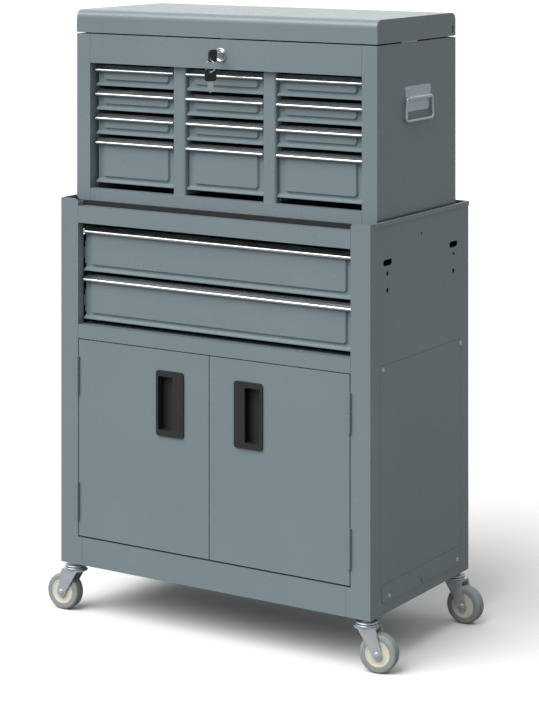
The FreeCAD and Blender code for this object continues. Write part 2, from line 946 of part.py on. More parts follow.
def door(label, side):
    """A door pressed as a shallow pan, with a cut-out for its pull and a knuckle at each hinge."""
    body = new_body(label)
    outer = post_edge - s.door_side_gap
    inner = s.door_split / 2
    top = s.mid_rail_bottom - s.door_top_gap
    box(body, (side * inner, side * outer), (front, front + s.door_depth), (s.door_bottom, top))
    cut(body, "XZ", front + s.sheet, front + 2 * s.door_depth,
        rectangle(side * (inner + s.sheet), side * (outer - s.sheet), s.door_bottom + s.sheet, top - s.sheet))
    cut(body, "XZ", front - s.sheet, front + 2 * s.sheet, pull_cup_outline(side, s.seam))
    for start in hinge_starts:
        low = start + s.hinge_length / 2
        high = start + s.hinge_length
        box(body, (side * outer, side * (outer + s.hinge_leaf)), (hinge_y, front + s.hinge_leaf_depth),
            (low, high))
        hinge_knuckle(body, (side,), low, high)
    return body


def pull_frame(side):
    """The limits of a pull's flange: from the edge near the split to the far edge."""
    inner = side * s.pull_inner_edge
    outer = side * (s.pull_inner_edge + s.pull_width)
    return inner, outer, s.pull_low, s.pull_low + s.pull_height


def pull_mouth(side):
    inner, outer, low, high = pull_frame(side)
    far = outer - side * s.mouth_margin
    margin = (s.pull_height - s.mouth_height) / 2
    return far - side * s.mouth_width, far, low + margin, high - margin


def pull_cup_outline(side, slack):
    """The outside of a pull's cup, which reaches under the wide flange."""
    near, far, low, high = pull_mouth(side)
    grow = s.cup_wall + slack
    return rectangle(near - side * (s.cup_undercut + grow), far + side * grow, low - grow, high + grow)


def door_pull(label, side):
    """A moulded pull: a flange on the door and a cup behind it, undercut for the fingers."""
    body = new_body(label)
    inner, outer, low, high = pull_frame(side)
    add(body, "XZ", front - s.pull_proud, front, rectangle(inner, outer, low, high, s.pull_corner))
    add(body, "XZ", front, front + s.cup_depth, pull_cup_outline(side, 0.0))
    near, far, mouth_low, mouth_high = pull_mouth(side)
    cut(body, "XZ", front - 2 * s.pull_proud, front + s.cup_depth - s.cup_wall,
        rectangle(near, far, mouth_low, mouth_high, s.cup_wall))
    cut(body, "XZ", front, front + s.cup_depth - s.cup_wall,
        rectangle(near - side * s.cup_undercut, far, mouth_low, mouth_high))
    return body


def door_catches():
    """The two magnetic catches under the mid rail, each on its own mounting plate."""
    body = new_body("door_catches")
    top = s.mid_rail_bottom
    start = front + s.door_depth + s.running_gap
    for side in (-1, 1):
        near = side * s.catch_width / 2
        box(body, (near, near + side * s.catch_width), (start, start + s.catch_depth),
            (top - s.catch_height, top))
        box(body, (near, near + side * s.catch_width), (start + s.catch_depth, start + s.catch_depth + s.sheet),
            (top - s.catch_height, top + s.catch_height))
        box(body, (near, near + side * s.catch_width), (front + s.rail_fold, start),
            (top - s.catch_plate, top))
    return body


# Pieces on the side panels

def side_covers():
    """The removable panels, flush in the side panels against a ledge, and the kick strips."""
    body = new_body("side_covers")
    for side in (-1, 1):
        add(body, "YZ", side * inner_side, side * half_width, access_outline(s.seam))
    kick_strips(body)
    return body


def kick_strips(body):
    """The strips under the access panels, with rounded lower corners and a pressed bump."""
    start = front + s.strip_front
    end = front + s.strip_rear
    outline = [
        (start, s.strip_bottom, s.strip_corner),
        (end, s.strip_bottom, s.strip_corner),
        (end, s.strip_top),
        (start, s.strip_top),
    ]
    middle = (start + end) / 2
    for side in (-1, 1):
        outer = half_width + s.sheet
        add(body, "YZ", side * half_width, side * outer, outline)
        bump = ((middle, (s.strip_bottom + s.strip_top) / 2 - s.strip_corner / 2), s.strip_bump_radius)
        add(body, "YZ", side * outer, side * (outer + s.strip_bump_proud), bump)


# Shared levels of the chest

chest_front = front + s.chest_setback
chest_rear = chest_front + s.chest_depth
chest_half = s.chest_width / 2
chest_bottom = s.tray_top + s.mat_thickness + s.mat_rib
chest_inner = chest_half - s.sheet
stile_edge = chest_half - s.stile_width
rail_top = chest_bottom + s.chest_rail_height
back_inner = chest_rear - 2 * s.sheet
stile_back = chest_front + s.post_return


def chest_shell():
    """The chest's sides and floor bent from one sheet, with a stile and a rear flange on each side."""
    body = new_body("chest_shell")
    radius = s.stile_corner
    inner_radius = radius - s.sheet
    wrap = [
        (-chest_half, s.chest_top),
        (-chest_half, chest_bottom, radius),
        (chest_half, chest_bottom, radius),
        (chest_half, s.chest_top),
        (chest_inner, s.chest_top),
        (chest_inner, chest_bottom + s.sheet, inner_radius),
        (-chest_inner, chest_bottom + s.sheet, inner_radius),
        (-chest_inner, s.chest_top),
    ]
    add(body, "XZ", chest_front + s.sheet, chest_rear, wrap)
    for side in (-1, 1):
        levels = (chest_bottom, s.chest_top)
        box(body, (side * stile_edge, side * chest_half), (chest_front, chest_front + s.sheet), levels)
        box(body, (side * stile_edge, side * (stile_edge + s.sheet)), (chest_front + s.sheet, stile_back),
            (chest_bottom + s.sheet, s.chest_top))
        box(body, (side * (chest_half - s.rear_flange), side * chest_inner), (chest_rear - s.sheet, chest_rear),
            (chest_bottom + radius, s.chest_top))
        outside = side * (chest_half + s.sheet)
        below = chest_bottom - s.sheet
        edge = side * chest_half
        corner = [
            (edge - side * radius, below),
            (outside, below),
            (outside, chest_bottom + radius),
            (edge, chest_bottom + radius),
            (edge, chest_bottom, radius),
            (edge - side * radius, chest_bottom),
        ]
        cut(body, "XZ", chest_front - s.sheet, chest_front + 2 * s.sheet, corner)
    return body


hinge_axis_y = chest_rear + s.lid_hinge_radius + s.running_gap


def lid_hinge_starts(first):
    """The left ends of every second one of the rear hinge's three knuckles."""
    step = s.lid_hinge_segment
    return [(index - 1.5) * step for index in range(first, 3, 2)]


def chest_back():
    """The chest's rear panel, with the fixed leaf and knuckles of the lid's hinge."""
    body = new_body("chest_back")
    across = chest_inner - s.seam
    bend = s.stile_corner - s.sheet
    panel = [
        (-across, chest_bottom + s.sheet, bend),
        (across, chest_bottom + s.sheet, bend),
        (across, s.chest_top),
        (-across, s.chest_top),
    ]
    add(body, "XZ", back_inner, chest_rear - s.sheet, panel)
    axis = (hinge_axis_y, s.lid_hinge_height)
    leaf_top = s.lid_hinge_height - s.lid_hinge_radius + s.lid_hinge_leaf
    leaf_bottom = leaf_top - s.lid_hinge_reach
    reach = 1.5 * s.lid_hinge_segment
    box(body, (-reach, reach), (chest_rear - s.sheet, chest_rear), (leaf_bottom, leaf_top))
    for start in lid_hinge_starts(0):
        end = start + s.lid_hinge_segment
        add(body, "YZ", start, end, (axis, s.lid_hinge_radius))
        box(body, (start, end), (chest_rear, hinge_axis_y), (leaf_top - s.lid_hinge_leaf, leaf_top))
    return body


def chest_front_frame():
    """The header, the bottom rail and the two deep dividers between the drawer columns."""
    body = new_body("chest_front_frame")
    across = stile_edge - s.seam
    header = folded([
        (chest_front + s.rail_fold, s.chest_header_bottom),
        (chest_front, s.chest_header_bottom),
        (chest_front, s.chest_top),
        (chest_front + s.rail_fold, s.chest_top),
    ], -s.sheet)
    add(body, "YZ", -across, across, header)
    rail = folded([
        (chest_front, chest_bottom),
        (chest_front, rail_top),
        (chest_front + s.rail_fold, rail_top),
    ], -s.sheet)
    add(body, "YZ", -across, across, rail)
    cut(body, "XZ", chest_front - s.sheet, chest_front + 2 * s.sheet,
        ((0.0, s.lock_height), s.lock_body_radius + s.bore_gap))
    for side in (-1, 1):
        middle = side * s.divider_offset
        left = middle - s.divider_width / 2
        right = middle + s.divider_width / 2
        web = chest_front + s.divider_setback
        inner_bend = s.divider_bend - s.sheet
        channel = [
            (left, back_inner),
            (left, web, s.divider_bend),
            (right, web, s.divider_bend),
            (right, back_inner),
            (right - s.sheet, back_inner),
            (right - s.sheet, web + s.sheet, inner_bend),
            (left + s.sheet, web + s.sheet, inner_bend),
            (left + s.sheet, back_inner),
        ]
        add(body, "XY", rail_top, s.chest_header_bottom, channel)
    return body


def till_floor():
    """The floor of the open till under the lid, on the header's lower fold."""
    body = new_body("till_floor")
    under = s.chest_header_bottom + s.sheet
    levels = (under, under + s.sheet)
    box(body, (-chest_inner, chest_inner), (stile_back, back_inner), levels)
    across = stile_edge - s.seam
    box(body, (-across, across), (chest_front + s.sheet, stile_back), levels)
    return body


# The drawer columns: the walls that bound each, and the ends of its drawer fronts

divider_inner = s.divider_offset - s.divider_width / 2
divider_outer = s.divider_offset + s.divider_width / 2
COLUMNS = {
    "left": ((-stile_edge, -divider_outer), (s.small_post_gap - stile_edge, -divider_outer - s.small_side_gap)),
    "centre": ((-divider_inner, divider_inner),
               (s.small_side_gap - divider_inner, divider_inner - s.small_side_gap)),
    "right": ((divider_outer, stile_edge), (divider_outer + s.small_side_gap, stile_edge - s.small_post_gap)),
}
ROWS = ((s.small_height, s.small_pan_height),) * 3 + ((s.deep_height, s.deep_pan_height),)


def row_levels(row):
    """The top and bottom of a drawer front in a row, counted from the top."""
    top = s.small_top - row * s.small_pitch
    return top, top - ROWS[row][0]


def chest_cheeks():
    """The inner walls beside the outer drawer columns, from the stiles to the rear panel."""
    body = new_body("chest_cheeks")
    for side in (-1, 1):
        box(body, (side * stile_edge, side * (stile_edge + s.sheet)), (stile_back, back_inner),
            (chest_bottom + s.sheet, s.chest_header_bottom + s.sheet))
    return body


def chest_runners():
    """An angle under each edge of every small drawer."""
    body = new_body("chest_runners")
    start = chest_front + s.runner_front
    for walls, ends in COLUMNS.values():
        for way in (0, 1):
            turned = 1 - 2 * way
            wall = walls[way]
            pan = ends[way] + turned * s.pan_inset
            edge = pan + turned * s.runner_bearing
            leg = wall + turned * s.sheet
            angles = []
            for row in range(len(ROWS)):
                top = row_levels(row)[1] + s.pan_rise - s.running_gap
                foot = top - s.sheet - s.runner_leg
                angles.append([
                    (wall, foot), (leg, foot), (leg, top - s.sheet), (edge, top - s.sheet), (edge, top), (wall, top)])
            add(body, "XZ", start, back_inner, *angles)
    return body


small_face = chest_front + s.bead_setback + s.trim_reach


def small_drawer(label, column, row):
    """A small drawer: painted front and pan, with its aluminium pull seated on the front's edge."""
    body = new_body(label)
    left, right = COLUMNS[column][1]
    top, bottom = row_levels(row)
    drawer_front(body, left, right, top, bottom, small_face)
    drawer_pan(body, left + s.pan_inset, right - s.pan_inset, small_face + s.sheet, s.small_pan_depth,
               bottom + s.pan_rise, ROWS[row][1])
    drawer_trim(body, left, right, top, small_face)
    return body


# Lid and its stays

def lid():
    """The lid: a shallow box with bent front and rear edges, skirt wraps and hinge leaf."""
    body = new_body("lid")
    outer = [
        (chest_front, s.lid_bottom),
        (chest_rear, s.lid_bottom),
        (chest_rear, s.lid_top, s.lid_bend),
        (chest_front, s.lid_top, s.lid_bend),
    ]
    add(body, "YZ", -chest_half, chest_half, outer)
    bend = s.lid_bend - s.sheet
    inner = [
        (chest_front + s.sheet, s.lid_bottom - s.sheet),
        (chest_rear - s.sheet, s.lid_bottom - s.sheet),
        (chest_rear - s.sheet, s.lid_top - s.sheet, bend),
        (chest_front + s.sheet, s.lid_top - s.sheet, bend),
    ]
    cut(body, "YZ", -chest_inner, chest_inner, inner)
    for side in (-1, 1):
        wrap = rectangle(chest_front, chest_front + s.lid_wrap, s.lid_wrap_bottom, s.lid_wrap_top)
        add(body, "YZ", side * chest_half, side * (chest_half + s.lid_wrap_proud), wrap)
    slot_rear = chest_rear - s.lid_slot_setback + s.lid_slot_width / 2
    slot = rectangle(slot_rear - s.lid_slot_width, slot_rear, s.lid_slot_bottom, s.lid_slot_top)
    cut(body, "YZ", -chest_half - s.sheet, chest_half + s.sheet, slot)
    axis = (hinge_axis_y, s.lid_hinge_height)
    leaf_bottom = s.lid_hinge_height + s.lid_hinge_radius - s.lid_hinge_leaf
    for start in lid_hinge_starts(1):
        low = start + s.running_gap
        high = start + s.lid_hinge_segment - s.running_gap
        add(body, "YZ", low, high, (axis, s.lid_hinge_radius))
        box(body, (low, high), (chest_rear, hinge_axis_y), (leaf_bottom, leaf_bottom + s.lid_hinge_leaf))
    return body


strike_place = (s.cam_arm_width / 2 + s.strike_gap + s.strike_pin_radius, s.lock_height + s.strike_pin_rise)
strike_tab = chest_front + s.strike_setback


def lid_strike():
    """The tab under the lid, just behind the lock, and the pin that the lock's cam hooks over."""
    body = new_body("lid_strike")
    half = s.strike_width / 2
    foot = strike_place[1] - 2 * s.strike_pin_radius
    box(body, (-half, half), (strike_tab, strike_tab + s.sheet), (foot, s.lid_top - s.sheet))
    pin_start = strike_tab + s.sheet + s.strike_seat
    pin_end = chest_front + s.lock_body_length + 3 * s.cam_thickness
    add(body, "XZ", pin_start, pin_end, (strike_place, s.strike_pin_radius))
    return body


def stay_link(body, side, plane, start, end):
    """One flat link of a lid stay between two pivots, with cropped corners at its ends."""
    near = side * plane
    far = side * (plane - s.stay_thickness)
    across = value_of(end[0]) - value_of(start[0])
    along = value_of(end[1]) - value_of(start[1])
    length = math.hypot(across, along)
    ahead = (across / length, along / length)
    half = s.stay_width / 2
    short = half - s.stay_crop
    bar = []
    for point, turned in ((start, -1), (end, 1)):
        for reach, rise in ((short, half), (half, short), (half, -short), (short, -half)):
            on = turned * reach
            up = turned * rise
            bar.append((
                point[0] + on * ahead[0] - up * ahead[1],
                point[1] + on * ahead[1] + up * ahead[0]))
    add(body, "YZ", near, far, bar)


stay_body_pivot = (s.stay_body_y, s.stay_body_z)
stay_lid_pivot = (s.stay_lid_y, s.stay_lid_z)
stay_elbow = (s.stay_elbow_y, s.stay_elbow_z)
lower_plane = chest_inner - s.stay_gap
upper_plane = lower_plane - s.stay_thickness - s.stay_gap


def stay_lower_links():
    """The lower links of both stays, each riveted to the chest's side."""
    body = new_body("stay_lower_links")
    face = lower_plane - s.stay_thickness
    for side in (-1, 1):
        stay_link(body, side, lower_plane, stay_body_pivot, stay_elbow)
        add(body, "YZ", side * face, side * (face - s.stay_rivet_head), (stay_body_pivot, s.stay_rivet_radius))
    return body


def stay_upper_links():
    """The upper links of both stays, pivoted on the lid."""
    body = new_body("stay_upper_links")
    for side in (-1, 1):
        stay_link(body, side, upper_plane, stay_lid_pivot, stay_elbow)
        hub = lower_plane - s.stay_gap
        add(body, "YZ", side * upper_plane, side * hub, (stay_lid_pivot, s.stay_rivet_radius))
    return body


# Lock and keys

def lock_barrel():
    """The chromed lock housing: a bezel on the header and a threaded body behind it."""
    body = new_body("lock_barrel")
    centre = (0.0, s.lock_height)
    add(body, "XZ", chest_front - s.lock_rim, chest_front, (centre, s.lock_radius))
    add(body, "XZ", chest_front, chest_front + s.lock_body_length, (centre, s.lock_body_radius))
    cut(body, "XZ", chest_front - 2 * s.lock_rim, chest_front + 2 * s.lock_body_length,
        (centre, s.lock_plug_radius + s.bore_gap))
    return body


def lock_plug():
    """The turning plug with its keyway, and the hooked cam on its rear end."""
    body = new_body("lock_plug")
    centre = (0.0, s.lock_height)
    plug_front = chest_front - s.lock_rim - s.lock_plug_proud
    cam_front = chest_front + s.lock_body_length + s.running_gap
    cam_back = cam_front + s.cam_thickness
    half = s.cam_arm_width / 2
    outside = 2 * s.cam_tip_radius
    top = s.lock_height + outside
    base = s.lock_height - outside
    add(body, "XZ", cam_front, cam_back, (centre, s.cam_tip_radius), (centre, s.cam_claw_radius))
    for spare in (
        rectangle(-outside, outside, s.lock_height + s.cam_claw_rise, top),
        rectangle(-outside, outside, base, s.lock_height - half),
        rectangle(half - s.cam_claw_radius, outside, base, top),
    ):
        cut(body, "XZ", cam_front - s.sheet, cam_back + s.sheet, spare)
    box(body, (-s.cam_claw_radius - s.cam_thickness, 0.0), (cam_front, cam_back),
        (s.lock_height - half, s.lock_height + half))
    add(body, "XZ", plug_front, cam_back, (centre, s.lock_plug_radius))
    half_way = s.key_blade_thickness / 2 + s.keyway_gap
    half_rise = s.key_blade_height / 2 + s.keyway_gap
    cut(body, "XZ", plug_front - s.sheet, chest_front + s.key_depth,
        rectangle(-half_way, half_way, s.lock_height - half_rise, s.lock_height + half_rise))
    return body


key_front = chest_front - s.key_reach
key_hole = (key_front + s.key_hole_inset, s.lock_height - s.key_head_height / 2 + s.key_hole_inset)

ring_top = key_hole[1] - s.key_hole_radius + s.ring_half_section + s.running_gap


def key():
    """The key in the lock: a moulded head with a hole for the ring, and a flat blade."""
    body = new_body("key")
    half = s.key_head_thickness / 2
    head = rectangle(key_front, key_front + s.key_head_length,
                     s.lock_height - s.key_head_height / 2, s.lock_height + s.key_head_height / 2,
                     s.key_head_corner)
    add(body, "YZ", -half, half, head)
    cut(body, "YZ", -half - s.sheet, half + s.sheet, (key_hole, s.key_hole_radius))
    blade = s.key_blade_thickness / 2
    rise = s.key_blade_height / 2
    box(body, (-blade, blade), (key_front + s.key_head_length, chest_front + s.key_depth - s.keyway_gap),
        (s.lock_height - rise, s.lock_height + rise))
    return body


def key_ring():
    """The split ring of square wire that hangs from the key, modelled about its centre."""
    body = new_body("key_ring")
    half = s.ring_half_section
    turn(body, "XY", rectangle(s.ring_radius - half, s.ring_radius + half, -half, half))
    locate(body, 0.0, key_hole[0], ring_top - s.ring_radius, angle=s.ring_yaw)
    return body


def spare_key():
    """The spare key on the ring, modelled about its hole, flat in its own XZ plane."""
    body = new_body("spare_key")
    half = s.spare_thickness / 2
    top = s.spare_hole_inset
    head_bottom = top - s.spare_head
    add(body, "XZ", -half, half,
        rectangle(-s.spare_head / 2, s.spare_head / 2, head_bottom, top, s.key_head_corner))
    cut(body, "XZ", -half - s.sheet, half + s.sheet, ((0.0, 0.0), s.key_hole_radius))
    blade = s.key_blade_thickness / 2
    wide = s.key_blade_height / 2
    tip = head_bottom - s.spare_blade
    outline = [(-wide, head_bottom), (-wide, tip + wide), (0.0, tip), (wide, tip + wide), (wide, head_bottom)]
    add(body, "XZ", -blade, blade, outline)
    locate(body, 0.0, key_hole[0], ring_top - 2 * s.ring_radius, angle=s.spare_yaw)
    return body


# Bail handles

bail_middle = chest_front + s.bail_middle


def handle_plates():
    """The two plates with their rolled barrels, which carry the bails."""
    body = new_body("handle_plates")
    wide = s.bail_plate_top_width / 2
    narrow = s.bail_plate_bottom_width / 2
    corner = s.bail_plate_corner
    outline = [
        (bail_middle - narrow, s.bail_plate_bottom, corner),
        (bail_middle + narrow, s.bail_plate_bottom, corner),
        (bail_middle + wide, s.bail_plate_top, corner),
        (bail_middle - wide, s.bail_plate_top, corner),
    ]
    half = s.bail_barrel_length / 2
    for side in (-1, 1):
        face = chest_half + s.bail_plate_thickness
        add(body, "YZ", side * chest_half, side * face, outline)
        barrel = (side * (chest_half + s.bail_axis_out), s.bail_axis_height)
        add(body, "XZ", bail_middle - half, bail_middle + half, (barrel, s.bail_barrel_radius))
    for side in (-1, 1):
        barrel = (side * (chest_half + s.bail_axis_out), s.bail_axis_height)
        cut(body, "XZ", bail_middle - half - s.sheet, bail_middle + half + s.sheet,
            (barrel, s.bail_wire + s.bore_gap))
    return body


def bail(label, side):
    """A bent bail that hangs from its barrel by two stubs."""
    body = new_body(label)
    start = s.bail_barrel_length / 2 - s.bail_stub
    low = -s.bail_drop
    half = s.bail_width / 2 - s.bail_wire
    route = [
        (-start, 0.0),
        (-s.bail_upper_half_width, 0.0, s.bail_upper_bend),
        (-half, low, s.bail_lower_bend),
        (half, low, s.bail_lower_bend),
        (s.bail_upper_half_width, 0.0, s.bail_upper_bend),
        (start, 0.0),
    ]
    path = sketch_on(body, "YZ", 0.0, [route], closed=False)
    flats = 2 * s.bail_wire * math.cos(math.pi / SIZES["bail_sides"])
    section = sketch_on(body, "XZ", -start, [regular((0.0, 0.0), flats, SIZES["bail_sides"])])
    wire = body.newObject("PartDesign::AdditivePipe", label + "_wire")
    wire.Profile = section
    wire.Spine = path
    locate(body, side * (chest_half + s.bail_axis_out), bail_middle, s.bail_axis_height)
    return body


# Castors

def castor_stems():
    """The four bearing cups with their stems and nuts, and the king bolts under them."""
    body = new_body("castor_stems")
    places = castor_places()
    under = s.cabinet_bottom
    plate_top = under + s.castor_plate
    pin_foot = s.fork_plate_top - s.fork_plate - s.running_gap
    round_stages = (
        (s.cup_bottom, s.cup_top, s.cup_radius),
        (under, plate_top, s.stem_radius - s.bore_gap),
        (pin_foot, s.cup_bottom, s.king_pin_radius),
    )
    nuts = (
        (s.cup_top, under, s.stem_nut_flats),
        (plate_top, plate_top + s.stem_upper_nut, s.stem_nut_flats),
        (pin_foot - s.king_pin_nut_height, pin_foot, s.king_pin_nut_flats),
    )
    for low, high, radius in round_stages:
        add(body, "XY", low, high, *[(place, radius) for place in places])
    for low, high, flats in nuts:
        add(body, "XY", low, high, *[regular(place, flats) for place in places])
    return body


CASTORS = {
    "front_left": (-1, -1, s.castor_yaw_front_left),
    "front_right": (1, -1, s.castor_yaw_front_right),
    "rear_left": (-1, 1, s.castor_yaw_rear_left),
    "rear_right": (1, 1, s.castor_yaw_rear_right),
}


def castor_point(name, ahead):
    """A point of a castor's trail line, measured from its swivel axis."""
    side, end, yaw = CASTORS[name]
    turned = math.radians(value_of(yaw))
    across = side * (half_width - s.castor_inset_x)
    along = end * (s.cabinet_depth / 2 - s.castor_inset_y)
    return across + ahead * math.cos(turned), along + ahead * math.sin(turned)


def castor_fork(name):
    """A pressed fork with its axle, modelled with the trail along its own +X."""
    body = new_body("fork_" + name)
    top = s.fork_plate_top
    under = top - s.fork_plate
    outer = s.fork_half_gap + s.fork_cheek
    corner = s.fork_plate_corner
    plate = [
        (s.fork_top_rear, -outer),
        (s.fork_top_rear, outer),
        (-s.fork_top_front, outer),
        (-s.fork_top_front - corner, outer - corner),
        (-s.fork_top_front - corner, corner - outer),
        (-s.fork_top_front, -outer),
    ]
    add(body, "XY", under, top, plate)
    foot = (s.castor_trail, s.wheel_radius)
    cheek = [
        (-s.fork_top_front, top),
        (s.castor_trail - s.fork_foot_radius, s.wheel_radius),
        (s.castor_trail + s.fork_foot_radius, s.wheel_radius),
        (s.fork_top_rear, top),
    ]
    for side in (-1, 1):
        near = side * s.fork_half_gap
        add(body, "XZ", near, side * outer, cheek)
        add(body, "XZ", near, side * outer, (foot, s.fork_foot_radius))
    add(body, "XZ", -outer - s.axle_proud, outer + s.axle_proud, (foot, s.axle_radius))
    cut(body, "XY", under - s.sheet, top + s.sheet, ((0.0, 0.0), s.king_pin_radius + s.bore_gap))
    across, along = castor_point(name, 0.0)
    locate(body, across, along, 0.0, angle=CASTORS[name][2])
    return body


def castor_wheel(name):
    """A wheel: a moulded hub flush in a rubber tyre, turned about its own Y axis."""
    body = new_body("wheel_" + name)
    half = s.wheel_width / 2
    bore = s.axle_radius + s.bore_gap
    shoulder = s.wheel_radius - s.tyre_shoulder_drop
    profile = [
        (bore, -half),
        (shoulder, -half),
        (s.wheel_radius, s.tyre_shoulder - half),
        (s.wheel_radius, half - s.tyre_shoulder),
        (shoulder, half),
        (bore, half),
    ]
    turn(body, "XY", profile)
    across, along = castor_point(name, s.castor_trail)
    locate(body, across, along, s.wheel_radius, angle=CASTORS[name][2])
    return body


def build():
    cabinet_side("cabinet_left_side", -1)
    cabinet_side("cabinet_right_side", 1)
    cabinet_back()
    cabinet_base()
    mid_rail()
    top_tray()
    tray_mat()
    large_slide_rails()
    for index in range(2):
        number = index + 1
        slide_intermediate("slide_intermediate_%d" % number, index)
        large_drawer("large_drawer_%d" % number, index)
        large_trim("large_trim_%d" % number, index)
    door_hinge_frames()
    for name, side in (("left", -1), ("right", 1)):
        door("door_" + name, side)
        door_pull("door_pull_" + name, side)
    door_catches()
    side_covers()
    chest_shell()
    chest_back()
    chest_front_frame()
    till_floor()
    chest_cheeks()
    chest_runners()
    for column in COLUMNS:
        for row in range(len(ROWS)):
            small_drawer("drawer_%s_%d" % (column, row + 1), column, row)
    lid()
    lid_strike()
    stay_lower_links()
    stay_upper_links()
    lock_barrel()
    lock_plug()
    key()
    key_ring()
    spare_key()
    handle_plates()
    bail("bail_left", -1)
    bail("bail_right", 1)
    castor_stems()
    for name in CASTORS:
        castor_fork(name)
        castor_wheel(name)


def check():
    """Stop if any object failed or any piece is empty or invalid."""
    for thing in document.Objects:
        states = [state for state in thing.State if state in ("Invalid", "Error")]
        if states:
            raise RuntimeError("%s: %s" % (thing.Name, states))
    for label, piece in nodes.items():
        if piece.Shape.isNull() or not piece.Shape.isValid():
            raise RuntimeError("%s has no valid shape" % label)


def export():
    os.makedirs("parts", exist_ok=True)
    for label, piece in nodes.items():
        piece.Shape.exportStep(os.path.join("parts", label + ".step"))


build()
document.recompute()
check()
export()
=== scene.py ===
"""Looks of the tool trolley: finishes, rounded sheet edges, small hardware, light and camera."""

import json
import math

import bmesh
import bpy
from mathutils import Matrix, Vector


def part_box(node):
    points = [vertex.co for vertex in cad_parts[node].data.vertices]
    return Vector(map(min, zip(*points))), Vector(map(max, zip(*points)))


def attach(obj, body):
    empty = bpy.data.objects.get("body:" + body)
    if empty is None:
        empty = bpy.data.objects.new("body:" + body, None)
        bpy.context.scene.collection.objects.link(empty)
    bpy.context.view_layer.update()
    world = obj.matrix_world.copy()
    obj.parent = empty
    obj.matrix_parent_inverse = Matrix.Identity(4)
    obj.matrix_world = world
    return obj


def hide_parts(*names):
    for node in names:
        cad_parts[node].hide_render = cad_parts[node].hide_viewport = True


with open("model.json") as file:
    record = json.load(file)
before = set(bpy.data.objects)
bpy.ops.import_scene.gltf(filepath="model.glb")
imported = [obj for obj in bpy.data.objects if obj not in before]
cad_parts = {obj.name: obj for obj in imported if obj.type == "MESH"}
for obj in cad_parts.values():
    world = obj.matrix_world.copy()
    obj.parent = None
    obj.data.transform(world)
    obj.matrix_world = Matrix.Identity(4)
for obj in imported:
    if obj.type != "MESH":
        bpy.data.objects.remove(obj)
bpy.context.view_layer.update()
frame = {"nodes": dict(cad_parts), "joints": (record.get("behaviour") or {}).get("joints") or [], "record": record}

MM = 0.001
scene = bpy.context.scene


# Colours, as they look in plain light

def linear(red, green, blue):
    """A colour of 0 to 255 as the shader's linear values."""
    channels = []
    for value in (red, green, blue):
        share = value / 255
        channels.append(share / 12.92 if share <= 0.04045 else ((share + 0.055) / 1.055) ** 2.4)
    return (*channels, 1.0)


PAINT = linear(124, 138, 143)
ALUMINIUM = linear(236, 238, 240)
ZINC = linear(208, 213, 218)
BRIGHT_ZINC = linear(206, 220, 229)
CHROME = linear(226, 228, 230)
MAT_RUBBER = linear(17, 17, 18)
BLACK_PLASTIC = linear(38, 38, 39)
TYRE = linear(150, 158, 158)
HUB = linear(226, 221, 204)
FLOOR = linear(252, 252, 252)
FLOOR_AS_LIGHT = linear(140, 140, 140)


# Materials

class Shader:
    """A material whose nodes are added one by one."""

    def __init__(self, name):
        self.material = bpy.data.materials.new(name)
        self.material.use_nodes = True
        self.nodes = self.material.node_tree.nodes
        self.links = self.material.node_tree.links
        self.surface = self.nodes["Principled BSDF"]
        self.place = self.nodes.new("ShaderNodeTexCoord").outputs["Object"]

    def set(self, **values):
        for name, value in values.items():
            self.surface.inputs[name.replace("_", " ")].default_value = value

    def noise(self, scale, detail=3.0, stretch=(1, 1, 1)):
        """Soft noise in object space, drawn out along some axes."""
        mapping = self.nodes.new("ShaderNodeMapping")
        mapping.inputs["Scale"].default_value = stretch
        texture = self.nodes.new("ShaderNodeTexNoise")
        texture.inputs["Scale"].default_value = scale
        texture.inputs["Detail"].default_value = detail
        self.links.new(self.place, mapping.inputs["Vector"])
        self.links.new(mapping.outputs["Vector"], texture.inputs["Vector"])
        return texture.outputs["Fac"]

    def spread(self, source, low, high, start=0.3, end=0.7):
        """Map a texture's middle values onto a range."""
        spread = self.nodes.new("ShaderNodeMapRange")
        spread.inputs["From Min"].default_value = start
        spread.inputs["From Max"].default_value = end
        spread.inputs["To Min"].default_value = low
        spread.inputs["To Max"].default_value = high
        self.links.new(source, spread.inputs["Value"])
        return spread.outputs["Result"]

    def tint(self, source, first, second):
        """Blend two colours by a texture and use them as the base colour."""
        mix = self.nodes.new("ShaderNodeMix")
        mix.data_type = "RGBA"
        mix.inputs["A"].default_value = first
        mix.inputs["B"].default_value = second
        self.links.new(source, mix.inputs["Factor"])
        self.links.new(mix.outputs["Result"], self.surface.inputs["Base Color"])

    def rough(self, source):
        self.links.new(source, self.surface.inputs["Roughness"])

    def bump(self, source, height, strength=1.0):
        """Raise the surface by a texture, in metres."""
        bump = self.nodes.new("ShaderNodeBump")
        bump.inputs["Distance"].default_value = height
        bump.inputs["Strength"].default_value = strength
        self.links.new(source, bump.inputs["Height"])
        self.links.new(bump.outputs["Normal"], self.surface.inputs["Normal"])


def scaled(colour, factor):
    return tuple(channel * factor for channel in colour[:3]) + (1.0,)


def powder_coat(name, colour, roughness=0.24):
    """Powder-coated steel: a fine orange peel and a slow drift of shade and gloss."""
    shader = Shader(name)
    cloud = shader.noise(5.0, 2.0)
    shader.tint(shader.spread(cloud, 0.0, 1.0), scaled(colour, 0.965), scaled(colour, 1.03))
    shader.rough(shader.spread(shader.noise(60.0, 3.0), roughness - 0.03, roughness + 0.04))
    shader.bump(shader.noise(900.0, 2.0), 0.00001, 0.12)
    shader.set(Specular_IOR_Level=0.5)
    return shader.material


